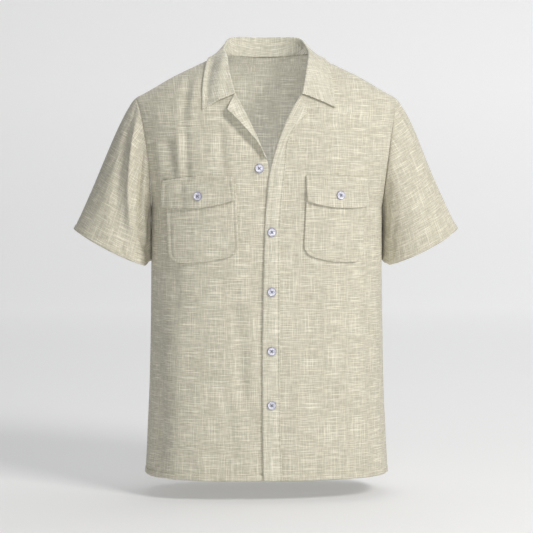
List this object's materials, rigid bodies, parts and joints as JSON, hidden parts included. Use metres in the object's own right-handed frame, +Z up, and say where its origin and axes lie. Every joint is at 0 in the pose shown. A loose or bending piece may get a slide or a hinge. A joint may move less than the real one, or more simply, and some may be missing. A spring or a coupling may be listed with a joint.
{
  "type": "camp shirt",
  "caption": "Short-sleeved camp shirt in slub linen, worn shape with no wearer: open collar, button front, flapped chest pockets, hollow body and sleeves.",
  "frame": {"origin": "midway between the two points where the collar seam meets the shoulder seams, where the wearer holds the shirt up", "axes": "+Z up, the front faces -Y, +X towards the wearer's left"},
  "size_m": [0.6754, 0.2605, 0.7609],
  "materials": {
    "shirt_cloth": "matt slub linen, plain weave",
    "buttons": "polished pearly polyester"
  },
  "bodies": {
    "root": {"back": "shirt_cloth", "front_left": "shirt_cloth", "front_right": "shirt_cloth", "placket": "shirt_cloth", "facing_right": "shirt_cloth", "sleeve_right": "shirt_cloth", "sleeve_left": "shirt_cloth", "collar": "shirt_cloth", "pocket_right": "shirt_cloth", "pocket_left": "shirt_cloth", "flap_right": "shirt_cloth", "flap_left": "shirt_cloth", "button_1": "buttons", "button_2": "buttons", "button_3": "buttons", "button_4": "buttons", "button_5": "buttons", "flap_button_right": "buttons", "flap_button_left": "buttons"}
  },
  "joints": []
}
